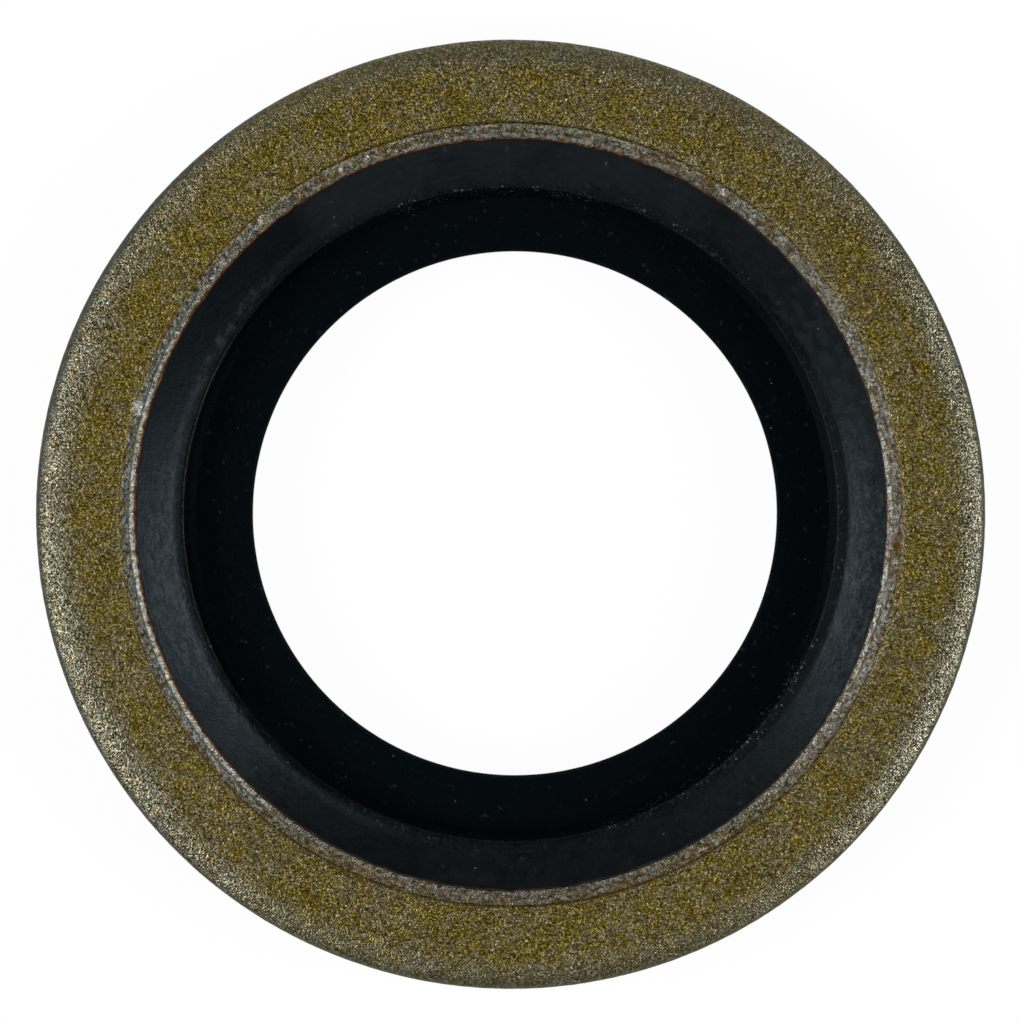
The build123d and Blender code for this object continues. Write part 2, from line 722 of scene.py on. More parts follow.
@dataclass(frozen=True)
class SealRubberFinish:
    """Black moulded rubber, satin, with faint turning marks of the mould, a little dust, and painted light
    and shade.
    """

    black: Colour = (0.0004, 0.0008, 0.0010, 1.0)
    grey: Colour = (0.0056, 0.0070, 0.0074, 1.0)
    # Near black for painted shade on the right flank, where the dull mark is above 0.
    wall: Colour = (0.0001, 0.0002, 0.0003, 1.0)
    web: Colour = (0.0013, 0.0026, 0.0032, 1.0)
    scuff: Colour = (0.0130, 0.0155, 0.0165, 1.0)
    # Painted highlight for the crest's inner edge and flat.
    flash: Colour = (0.0260, 0.0250, 0.0245, 1.0)
    crest_shade: Colour = (0.0002, 0.0003, 0.0004, 1.0)
    dust: Colour = tone(78, 84, 88)
    torn_grey: Colour = tone(96, 102, 102)
    sheen_colour: Colour = tone(209, 238, 255)
    gloss: float = 0.13
    relief_depth: float = 4 * MICRON
    turning_scale: float = 16000.0
    turning_turn: float = 1.5 * MM
    turning_haze: Stretch = (0.3, 0.7, 0.5, 1.5)
    fine_scale: float = 15000.0
    fine_highlight: Stretch = (0.4, 0.6, 0.0, 1.3)
    haze: Pattern = Pattern(900.0, 3.0, (0.3, 0.7, 0.4, 1.6))
    scuffs: Pattern = Pattern(7600.0, 3.0, (0.44, 0.60, 0.0, 1.0))
    scuff_turn: float = 3.5 * MM
    crumbs: Pattern = Pattern(13500.0, 1.0, (0.63, 0.74, 0.0, 1.0))
    flecks: Pattern = Pattern(6000.0, 3.0, (0.66, 0.72, 0.0, 0.12))
    dust_scale: float = 4200.0
    speck_size: Stretch = (0.10, 0.05, 0.0, 1.0)
    speck_chance: Stretch = (0.8, 0.82, 0.0, 1.0)
    web_dullness: Stretch = (0.0, -0.6, 0.0, 1.0)
    roughness: Stretch = (0.7, 1.3, 0.51, 0.25)
    dull_roughness: float = 0.7

    def material(self) -> bpy.types.Material:
        """Builds the material.

        Returns:
            The material, for the whole seal.
        """
        recipe = Recipe("moulded_seal_rubber")
        dull = recipe.mark(Mark.DULL)
        turning = recipe.noise(self.turning_scale, 2.0, recipe.around(self.turning_turn))
        fine = recipe.noise(self.fine_scale, 2.0)
        # Grey bloom, partly painted light: it brightens the flank on the left and the crest on the right.
        haze = recipe.math("MULTIPLY", recipe.cloud(self.haze), recipe.mark(Mark.BLOOM))
        haze = recipe.math("MULTIPLY", haze, recipe.spread(turning, *self.turning_haze))
        colour = recipe.mix(haze, self.black, self.grey)
        scuffs = recipe.cloud(self.scuffs, recipe.around(self.scuff_turn))
        colour = recipe.layer(colour, Mark.SCUFFED, self.scuff, scuffs)
        # Where the dull mark is above 0, on the right flank near the steel, the colour darkens: painted
        # shade.
        colour = recipe.mix(dull, colour, self.wall)
        colour = recipe.mix(recipe.spread(dull, *self.web_dullness), colour, self.web)
        colour = recipe.layer(colour, Mark.TORN, self.torn_grey, recipe.cloud(self.crumbs))
        distance, chance = recipe.cells(self.dust_scale)
        chosen = recipe.spread(chance, *self.speck_chance)
        specks = recipe.math("MULTIPLY", recipe.spread(distance, *self.speck_size), chosen)
        colour = recipe.mix(recipe.math("ADD", specks, recipe.cloud(self.flecks)), colour, self.dust)
        # Painted highlight along the crest's inner edge and on its flat.
        colour = recipe.layer(colour, Mark.BARE, self.flash, recipe.spread(fine, *self.fine_highlight))
        # Painted shade: dark lines under and beside the crest's highlight.
        colour = recipe.layer(colour, Mark.CREASED, self.crest_shade)
        grain = recipe.math("ADD", turning, fine)
        duller = recipe.math("MULTIPLY_ADD", dull, self.dull_roughness, 1.0)
        roughness = recipe.math("MULTIPLY", recipe.spread(grain, *self.roughness), duller)
        recipe.set(Base_Color=colour, Roughness=roughness)
        recipe.set(Specular_IOR_Level=self.gloss, Specular_Tint=self.sheen_colour)
        recipe.bump(grain, self.relief_depth)
        return recipe.material


@dataclass(frozen=True)
class BondingAgentFinish:
    """The reddish-brown bonding agent that shows as a thin line between rubber and steel."""

    red: Colour = tone(150, 98, 58)
    brown: Colour = tone(20, 13, 7)
    grey: Colour = tone(128, 124, 120)
    clot_scale: float = 11000.0
    clot_strength: Stretch = (0.34, 0.66, -0.1, 1.3)
    clot_depth: float = 6 * MICRON
    roughness: float = 0.6
    gloss: float = 0.15

    def material(self) -> bpy.types.Material:
        """Builds the material.

        Returns:
            The material, for the bond lines.
        """
        recipe = Recipe("bonding_agent")
        clots = recipe.noise(self.clot_scale, 3.0)
        lumps = recipe.spread(clots, *self.clot_strength)
        colour = recipe.layer(self.brown, Mark.REDDENED, self.red, lumps)
        # Pale grey where the steel shows through, and painted highlight on the right.
        colour = recipe.layer(colour, Mark.BARE, self.grey, lumps)
        recipe.set(Base_Color=colour, Roughness=self.roughness, Specular_IOR_Level=self.gloss)
        recipe.bump(clots, self.clot_depth)
        return recipe.material


# ------------------------------------------------------------------------------ steel ring

SPOT_REACH = 1.3
SPOT_CORE = 0.5


@dataclass(frozen=True)
class Spot:
    """A spot of bonding agent, or another local mark, beside the seal.

    Attributes:
        azimuth: The middle of the spot in degrees.
        turn: Half its length round the washer in degrees.
        across: The middle of the spot, outwards from the steel's bore, in metres.
        width: Half its width across the land in metres.
        strength: How much it covers, from 0 to 1.
    """

    azimuth: float
    turn: float
    across: float
    width: float
    strength: float

    def share(self, place: Place, across: float) -> float:
        """Gives the spot's strength at a place.

        Args:
            place: A place on the ring.
            across: Its distance outwards from the steel's bore.

        Returns:
            A number from 0 to the spot's strength.
        """
        along = turn_between(place.azimuth, self.azimuth) / self.turn
        if along > SPOT_REACH:
            return 0.0
        away = math.hypot(along, (across - self.across) / self.width)
        return self.strength * ease(SPOT_REACH, SPOT_CORE, away)


def spots(*rows: tuple[float, float, float, float, float]) -> tuple[Spot, ...]:
    """Makes spots out of rows of azimuth, turn, across and width in millimetres, and strength."""
    return tuple(Spot(middle, turn, far * MM, wide * MM, share) for middle, turn, far, wide, share in rows)


BOND_STAINS = spots(
    (4.0, 0.5, 0.17, 0.04, 0.7), (10.3, 0.8, 0.18, 0.05, 0.8), (16.8, 1.1, 0.21, 0.08, 0.8),
    (36.6, 0.5, 0.15, 0.04, 0.8), (43.7, 0.9, 0.21, 0.08, 1.0), (48.2, 1.4, 0.20, 0.11, 1.0),
    (51.8, 0.5, 0.20, 0.05, 0.6), (55.6, 0.9, 0.16, 0.06, 0.7), (59.3, 1.3, 0.21, 0.10, 1.0),
    (65.8, 0.5, 0.20, 0.06, 0.8), (78.5, 0.7, 0.20, 0.05, 1.0), (89.6, 0.6, 0.17, 0.04, 0.8),
    (94.0, 0.6, 0.17, 0.04, 0.8), (98.2, 1.3, 0.18, 0.05, 1.0), (103.4, 0.4, 0.16, 0.03, 0.7),
    (106.5, 1.6, 0.16, 0.04, 0.9), (109.2, 1.0, 0.24, 0.08, 1.0), (119.0, 1.2, 0.18, 0.05, 1.0),
    (170.0, 0.4, 0.22, 0.04, 0.8), (178.6, 0.5, 0.22, 0.05, 1.0), (269.0, 0.5, 0.17, 0.04, 0.9),
    (292.8, 0.9, 0.18, 0.05, 0.9), (298.0, 0.6, 0.20, 0.05, 0.7), (314.0, 0.6, 0.24, 0.07, 0.7),
    (324.0, 0.5, 0.22, 0.12, 1.0), (338.6, 0.6, 0.22, 0.05, 0.9), (342.0, 0.5, 0.24, 0.04, 0.9),
    (351.4, 0.9, 0.22, 0.07, 1.0), (355.3, 1.4, 0.20, 0.08, 1.0),
)
BARE_SPOTS = spots(
    (164.4, 1.0, 0.21, 0.12, 1.0), (163.6, 0.6, 0.27, 0.10, 1.0), (116.2, 0.6, 0.17, 0.07, 0.8),
    (112.0, 0.6, 0.16, 0.05, 0.6), (130.9, 0.8, 0.18, 0.07, 0.7), (45.6, 0.5, 0.17, 0.07, 0.8),
    (56.6, 0.8, 0.19, 0.08, 0.8), (51.2, 0.9, 0.21, 0.08, 0.7), (302.4, 0.6, 0.21, 0.07, 0.6),
    (138.8, 0.6, 0.16, 0.06, 0.6), (264.8, 0.6, 0.11, 0.05, 0.6),
)
REDDENED_ARCS: Arcs = (Arc(143, 12, 12), Arc(180, 32, 18, 0.9), Arc(108, 32, 30, 0.9))
LEAST_REDNESS = 0.22


def bond_redness(place: Place) -> float:
    """Tells how thick the bonding agent squeezed out at the steel's bore, from 0 to 1."""
    return LEAST_REDNESS + (1 - LEAST_REDNESS) * strongest(place, REDDENED_ARCS)


@dataclass
class PlatedRing:
    """The blanked steel ring, blasted and plated.

    Attributes:
        bore: The bore's radius, where the rubber is bonded.
        edge_angle: The angle in degrees past which an edge stays sharp.
        blast: The cell, height and shift of each size of the blast's unevenness.
    """

    bore: float
    outer: float
    bottom: float
    top: float
    segments: int = 1080
    edge_angle: float = 50.0
    die_roll_width: float = 0.70 * MM
    die_roll_depth: float = 0.25 * MM
    fracture_height: float = 0.62 * MM
    fracture_lean: float = 0.04 * MM
    burr_break: float = 0.06 * MM
    land_width: float = 0.31 * MM
    land_depth: float = 0.05 * MM
    land_draft: float = 0.03 * MM
    land_wander: float = 0.02 * MM
    ridge_width: float = 0.14 * MM
    ridge_drop: float = 0.012 * MM
    pierce_burr_width: float = 0.12 * MM
    pierce_burr_height: float = 0.044 * MM
    pierce_burr_blur: float = 0.04 * MM
    line_gap: float = 0.05 * MM
    shear_wander: float = 0.09 * MM
    shear_blur: float = 0.06 * MM
    blast: tuple[tuple[float, float, tuple[float, float, float]], ...] = (
        (0.10 * MM, 3.5 * MICRON, (0, 0, 0)),
        (0.24 * MM, 3.5 * MICRON, (9, 0, 0)),
        (0.9 * MM, 4.0 * MICRON, (0, 5, 0)),
    )
    crumb_height: float = 11.0 * MICRON
    lump_height: float = 6 * MICRON
    tear_height: float = 9 * MICRON
    roll_highlight_arcs: Arcs = (Arc(190, 22, 40, 0.78), Arc(357, 20, 38))
    wide_roll_highlight: Arc = Arc(182, 34, 26)
    worn_ridge: Arc = Arc(28, 50, 25, 0.25)
    mottled_arcs: Arcs = (Arc(168, 38, 30, 0.6), Arc(75, 35, 30, 0.15), Arc(345, 38, 25, -0.22))
    fresh_arcs: Arcs = (Arc(125, 18, 20, 0.15), Arc(2, 10, 14, 0.12))
    faded_arcs: Arcs = (Arc(228, 30, 24, 0.12), Arc(340, 8, 10, 0.08))
    matte_arcs: Arcs = (Arc(84, 30, 28, 0.36), Arc(276, 24, 22, 0.28))
    rough_land: Arc = Arc(2, 38, 22, 0.6)
    bare_land: Arc = Arc(3, 34, 18, 0.34)
    highlight_line_arcs: Arcs = (Arc(12, 42, 12, 0.3), Arc(98, 34, 10, 0.3))
    burr_highlight_arcs: Arcs = (
        Arc(190, 32, 18, 0.33), Arc(348, 20, 14, 0.33), Arc(92, 14, 24, 0.46), Arc(270, 14, 24, 0.322)
    )
    silvered_arcs: Arcs = (Arc(185, 38, 20, 0.28), Arc(10, 40, 20, 0.12))
    lit_crease_arcs: Arcs = (Arc(15, 25, 30, 0.42), Arc(168, 12, 15, 0.42), Arc(95, 38, 14, 0.336))
    lit_left_crease: Arc = Arc(200, 30, 20, 0.4)
    dirty_land: Arc = Arc(265, 28, 15, 0.22)
    pitted_land: Arc = Arc(3, 34, 18, 0.62)
    rim_shade_reach_arcs: Arcs = (Arc(148, 16, 22, 0.16), Arc(195, 18, 18, 0.05), Arc(12, 28, 20, 0.03))
    rim_shade_arcs: Arcs = (Arc(80, 30, 30, -0.66), Arc(8, 32, 20, 0.2))
    burr_foot_shade_arcs: Arcs = (Arc(195, 42, 12, 0.8), Arc(345, 18, 10, 0.5))
    finish: PlatedSteelFinish = field(default_factory=PlatedSteelFinish)

    @property
    def land_edge(self) -> float:
        """Gives the radius of the lands' outer edge."""
        return self.bore + self.land_width

    @property
    def upper_land(self) -> float:
        """Gives the height of the upper land."""
        return self.top - self.land_depth

    @property
    def lower_land(self) -> float:
        """Gives the height of the lower land."""
        return self.bottom + self.land_depth

    @property
    def burr_top(self) -> float:
        """Gives the height of the pierce burr, at the bore."""
        return self.upper_land + self.pierce_burr_height

    @property
    def roll_end(self) -> float:
        """Gives the height at which the die roll ends on the outer wall."""
        return self.top - self.die_roll_depth

    def in_from_wall(self, rolls: float) -> float:
        """Gives the radius that lies a number of die-roll widths inside the outer wall."""
        return self.outer - rolls * self.die_roll_width

    def stations(self) -> list[Station]:
        """Walks round the section, from the bore's upper edge outwards and back underneath.

        The pierce burr's slope flattens out a little at its foot.

        Returns:
            The section's stations in order.
        """
        lean = self.outer - self.fracture_lean
        draft_end = self.land_edge + self.land_draft
        burr_top = Station(self.bore, self.burr_top)
        burr_foot = burr_top.pulled((Station(self.bore + self.pierce_burr_width, self.upper_land), 0.9))
        path = walked(
            [burr_top],
            (burr_foot, 5),
            (Station(self.bore + 1.3 * self.pierce_burr_width, self.upper_land), 2),
            (Station(self.land_edge, self.upper_land), 3),
            (Station(draft_end, self.top - self.ridge_drop), 1),
            (Station(draft_end + self.ridge_width, self.top), 3),
            (Station(self.in_from_wall(1), self.top), 19),
        )
        path += rounded(path[-1], Station(self.outer, self.top), Station(self.outer, self.roll_end), 17)
        path = walked(
            path,
            (Station(self.outer, self.bottom + self.fracture_height), 8),
            (Station(lean, self.bottom + self.burr_break), 5),
            (Station(lean - self.burr_break, self.bottom), 2),
            (Station(draft_end, self.bottom), 16),
            (Station(self.land_edge, self.lower_land), 1),
            (Station(self.bore, self.lower_land), 3),
            (burr_top, 3),
        )
        return path[:-1]

    def on_land(self, place: Place) -> float:
        """Tells how far a place is on one of the coined lands, from 0 to 1."""
        edge = self.land_edge + place.cloud(0.35 * MM) * self.land_wander
        return ease(edge + self.land_draft, edge - self.land_draft, place.radius)

    def on_burr(self, place: Place) -> float:
        """Tells how far a place is on the pierce burr, round the bore's upper edge.

        Args:
            place: A place on the ring.

        Returns:
            1 on the burr, 0 outside it.
        """
        if place.height < self.upper_land - self.land_depth:
            return 0.0
        edge = self.bore + self.pierce_burr_width
        return ease(edge, edge - self.pierce_burr_blur, place.radius)

    def rolled_grey_and_highlight(self, place: Place) -> float:
        """Tells how grey the rolled edge is: rubbed grey all round, brightened on the left and right sides,
        where the lamps stand, as painted highlight.

        Args:
            place: A place on the ring.

        Returns:
            0 on the flat face, up to 1 at the widest part of the roll and on the wall under it.
        """
        # Painted highlight: the grey is fullest on the left and right sides, facing the lamps, and widest on
        # the left.
        rubbed = 0.46 + 0.54 * strongest(place, self.roll_highlight_arcs)
        if place.height < self.roll_end:
            return rubbed if place.radius > self.in_from_wall(1) else 0.0
        left = self.wide_roll_highlight.at(place)
        start, full = self.in_from_wall(1.1 + 0.3 * left), self.in_from_wall(0.3 + 0.2 * left)
        ridge = near(place.radius, self.land_edge + 0.1 * MM, 0.03 * MM, 0.08 * MM)
        ridge *= self.worn_ridge.at(place)
        return max(ridge, rubbed * ease(start, full, place.radius))

    def mottled_at(self, place: Place) -> float:
        """Gives how much the rubbed plating varies between its warm and its cool tint."""
        return total(place, self.mottled_arcs, 0.62)

    def faded_at(self, place: Place) -> float:
        """Gives how much the plating's gold has faded to grey, less than 0 where it is fresh."""
        return strongest(place, self.faded_arcs) - strongest(place, self.fresh_arcs)

    def matte_at(self, place: Place) -> float:
        """Gives how smooth and even the rolled edge is: most at the back and the front."""
        rolled = ease(self.in_from_wall(1), self.in_from_wall(0.3), place.radius)
        return strongest(place, self.matte_arcs) * rolled

    def sheared_at(self, place: Place) -> float:
        """Gives how far a place is on the sheared band of the outer wall, over the torn zone.

        Args:
            place: A place on the ring.

        Returns:
            1 on the band, 0 outside it.
        """
        if place.radius < self.outer - self.burr_break:
            return 0.0
        torn_top = self.bottom + self.fracture_height + self.shear_wander * place.cloud(0.7 * MM)
        above = ease(torn_top, torn_top + self.shear_blur, place.height)
        return above * ease(self.roll_end + self.shear_blur, self.roll_end - self.shear_blur, place.height)

    def relief(self, place: Place) -> float:
        """Gives the height of the blasted, coined or torn surface over the plain form.

        Args:
            place: A place on the ring.

        Returns:
            The height in metres, outwards.
        """
        blasted = sum(place.cloud(cell, shift) * height for cell, height, shift in self.blast)
        crumbs = self.on_burr(place) * place.cloud(0.06 * MM) * self.crumb_height
        lumps = self.lump_height * self.lump_at(place)
        calmed = 1 - (0.4 - self.rough_land.at(place)) * self.on_land(place)
        return blasted * calmed + self.tear(place) + lumps + crumbs

    def tear(self, place: Place) -> float:
        """Gives the rough, upright marks of the torn zone low on the outer wall.

        Args:
            place: A place on the ring.

        Returns:
            The height in metres, outwards.
        """
        if place.radius < self.outer - 2 * self.burr_break:
            return 0.0
        torn_top = self.bottom + self.fracture_height
        torn = ease(torn_top, torn_top - 0.3 * self.fracture_height, place.height)
        turn = math.radians(place.azimuth) * self.outer
        streaks = noise.noise(Vector((turn / (0.12 * MM), place.height / (0.5 * MM), 0)))
        return torn * streaks * self.tear_height

    def spots_at(self, marks: tuple[Spot, ...], place: Place) -> float:
        """Gives the strongest of the upper land's spots that cover a place.

        Args:
            marks: The spots.
            place: A place on the ring.

        Returns:
            A number from 0 to 1.
        """
        across = place.radius - self.bore
        if place.height < self.lower_land + self.land_depth or across > 1.5 * self.land_width:
            return 0.0
        return max(spot.share(place, across) for spot in marks)

    def lump_at(self, place: Place) -> float:
        """Gives the strength of the lumps that stand up where bare metal shows."""
        return self.spots_at(BARE_SPOTS, place)

    def stain_at(self, place: Place) -> float:
        """Gives the strength of the bonding agent's spots, and of its film along the bore's edge.

        Args:
            place: A place on the ring.

        Returns:
            From 0 to 1.
        """
        ragged = 0.02 * MM * place.cloud(0.12 * MM)
        film = 0.5 * ease(0.055 * MM, 0.005 * MM, place.radius - self.bore + ragged)
        return max(film * bond_redness(place), self.spots_at(BOND_STAINS, place))

    def bare_and_highlight_at(self, place: Place) -> float:
        """Gives how bright and bare the steel is at a place, with painted highlight on the burr's outward
        slope, strongest at its left, right, back and front, and along a line just inside the land's edge.

        Args:
            place: A place on the ring.

        Returns:
            From 0 to 1.
        """
        land = self.bare_land.at(place) * self.on_land(place) * (1 - self.on_burr(place))
        line = near(place.radius, self.land_edge - self.line_gap, 0.01 * MM, 0.035 * MM)
        # Painted highlight: a pale line just inside the land's edge.
        line *= strongest(place, self.highlight_line_arcs)
        # Painted highlight on the burr's slope, by where it faces the light.
        burr = self.on_burr(place) * strongest(place, self.burr_highlight_arcs, 0.16)
        return max(burr, land, line, self.lump_at(place))

    def silvered_at(self, place: Place) -> float:
        """Gives how far a land's plating is worn to bare grey: most on the left of the washer."""
        return strongest(place, self.silvered_arcs) * self.on_land(place)

    def crease_shade_and_dirt_at(self, place: Place) -> float:
        """Gives the painted shade and dirt in the crease at the land's outer edge, lighter where the lamps
        stand, and the pits and film on the land.

        Args:
            place: A place on the ring.

        Returns:
            From 0 to 1.
        """
        crease = near(place.radius, self.land_edge, 0.01 * MM, 0.06 * MM)
        crease *= 0.25 + 0.5 * ease(-0.5, 0.3, place.cloud(0.5 * MM))
        # Painted shade: the crease is lighter where it faces the lamps.
        crease *= 1 - strongest(place, self.lit_crease_arcs)
        crease *= 1 - self.lit_left_crease.at(place)
        pits = noise.noise(Vector((place.radius / (0.05 * MM), place.azimuth / 2.2, 5)))
        pitted = ease(-0.05, 0.35, pits) * self.pitted_land.at(place)
        return max(crease, max(self.dirty_land.at(place), pitted) * self.on_land(place))

    def rim_shade_at(self, place: Place) -> float:
        """Gives the painted shade at the very edge of the roll, where it turns down, and the painted shade
        and dirt at the burr's foot.

        Args:
            place: A place on the ring.

        Returns:
            From 0 to 1.
        """
        reach = total(place, self.rim_shade_reach_arcs, 0.08) * MM
        edge = ease(self.outer - reach, self.outer - 0.02 * MM, place.radius)
        foot = near(place.radius, self.bore + self.pierce_burr_width, 0.008 * MM, 0.03 * MM)
        foot *= strongest(place, self.burr_foot_shade_arcs, 0.15)
        return max(foot, edge * total(place, self.rim_shade_arcs, 0.92))

    def build(self) -> bpy.types.Object:
        """Lathes the ring, paints its marks and raises its relief.

        Returns:
            The finished ring.
        """
        marks = {
            Mark.COINED: self.on_land,
            Mark.ROLLED: self.rolled_grey_and_highlight,
            Mark.STAINED: self.stain_at,
            Mark.BARE: self.bare_and_highlight_at,
            Mark.SILVERED: self.silvered_at,
            Mark.CREASED: self.crease_shade_and_dirt_at,
            Mark.RIM: self.rim_shade_at,
            Mark.MOTTLED: self.mottled_at,
            Mark.SHEARED: self.sheared_at,
            Mark.MATTE: self.matte_at,
            Mark.FADED: self.faded_at,
        }
        piece = Lathe(self.segments).turn("plated_ring", self.stations())
        raise_relief(piece, paint(piece, marks), self.relief)
        smooth(piece, self.edge_angle, self.finish.material())
        return piece


# ------------------------------------------------------------------------------ bond lines


@dataclass
class BondLine:
    """A thin bead of bonding agent where the rubber leaves the steel.

    Attributes:
        name: The piece's name.
        bore: The steel's bore.
        height: The height of the steel's edge.
        upwards: 1 on the upper side, -1 on the lower side.
        segments: The number of vertices round the bead, the most that the torus operator makes.
        sides: The number of vertices round the bead's own section.
        finish: The bead's finish.
    """

    name: str
    bore: float
    height: float
    upwards: int
    thickness: float = 0.031 * MM
    overlap: float = 0.028 * MM
    sunk_share: float = 0.3
    flank_slope: float = 0.40
    wander: float = 0.045 * MM
    wander_cell: float = 0.07 * MM
    swelling: float = 0.9
    swelling_cell: float = 0.08 * MM
    segments: int = 256
    sides: int = 10
    edge_angle: float = 180.0
    shining: Arc = Arc(342, 24, 18, 0.4)
    finish: BondingAgentFinish = field(default_factory=BondingAgentFinish)

    @property
    def middle(self) -> float:
        """Gives the radius of the bead's middle."""
        return self.bore - self.overlap

    def redness_at(self, place: Place) -> float:
        """Gives how red the bead is at a place, from 0 to 1."""
        across = ease(self.middle - 0.4 * self.thickness, self.middle + self.thickness, place.radius)
        return bond_redness(place) * across

    def bare_and_highlight_at(self, place: Place) -> float:
        """Gives how far the bead shows pale grey on its outer side, on the right: the steel shining through,
        and painted highlight.
        """
        return self.shining.at(place) * ease(self.middle, self.bore, place.radius)

    def wobble(self, piece: bpy.types.Object, places: list[Place]) -> None:
        """Makes the bead uneven, as a brushed-on film is.

        Args:
            piece: The bead.
            places: The places of its vertices.
        """
        for vertex, place in zip(piece.data.vertices, places):
            turn = math.radians(place.azimuth) * self.bore
            sway = noise.noise(Vector((turn / self.wander_cell, 3, 0))) * self.wander
            swell = 1 + self.swelling * noise.noise(Vector((turn / self.swelling_cell, 7, 0)))
            flat = place.point.xy.normalized()
            away = place.point.xy - flat * self.middle
            vertex.co.xy = flat * (self.middle + sway) + away * swell
            climb = self.flank_slope * max(0.0, self.bore - vertex.co.xy.length)
            vertex.co.z = self.height + (place.height - self.height) * swell + self.upwards * climb
        piece.data.update()

    def build(self) -> bpy.types.Object:
        """Adds the bead at its place and makes it uneven.

        Returns:
            The finished bead.
        """
        bpy.ops.object.select_all(action="DESELECT")
        bpy.ops.mesh.primitive_torus_add(
            major_segments=self.segments,
            minor_segments=self.sides,
            major_radius=self.middle,
            minor_radius=self.thickness,
        )
        piece = name_active(self.name)
        sunk = self.height - self.upwards * self.sunk_share * self.thickness
        for vertex in piece.data.vertices:
            vertex.co.z += sunk
        self.wobble(piece, paint(piece, {Mark.REDDENED: self.redness_at, Mark.BARE: self.bare_and_highlight_at}))
        smooth(piece, self.edge_angle, self.finish.material())
        return piece


# ------------------------------------------------------------------------------ rubber seal


@dataclass(frozen=True)
class RaggedArc:
    """A stretch of the lip's inner edge where the flash was torn or trimmed away.

    Attributes:
        arc: The stretch, with the depth of its roughness in metres as its strength.
        inner: The inner radius of the rough band.
        outer: The outer radius of the rough band.
        blur: Half the width of the band's soft edges.
    """

    arc: Arc
    inner: float
    outer: float
    blur: float = 0.03 * MM

    def depth_at(self, place: Place) -> float:
        """Gives the depth of the roughness at a place.

        Args:
            place: A place on the seal.

        Returns:
            The depth in metres.
        """
        across = min(
            ease(self.inner - self.blur, self.inner + self.blur, place.radius),
            ease(self.outer + self.blur, self.outer - self.blur, place.radius),
        )
        return self.arc.at(place) * across


RAGGED_FADE = 4.0
RAGGED_ARCS = tuple(
    RaggedArc(Arc(middle, turn, RAGGED_FADE, depth * MICRON), inner * MM, outer * MM)
    for middle, turn, inner, outer, depth in (
        (92, 17, 6.74, 7.16, 20),
        (312, 24, 6.92, 7.22, 22),
        (350, 14, 7.00, 7.28, 12),
        (20, 16, 7.10, 7.20, 9),
        (57, 12, 7.10, 7.26, 14),
        (208, 20, 7.06, 7.26, 13),
        (178, 12, 7.04, 7.26, 7),
        (250, 9, 7.08, 7.24, 15),
    )
)


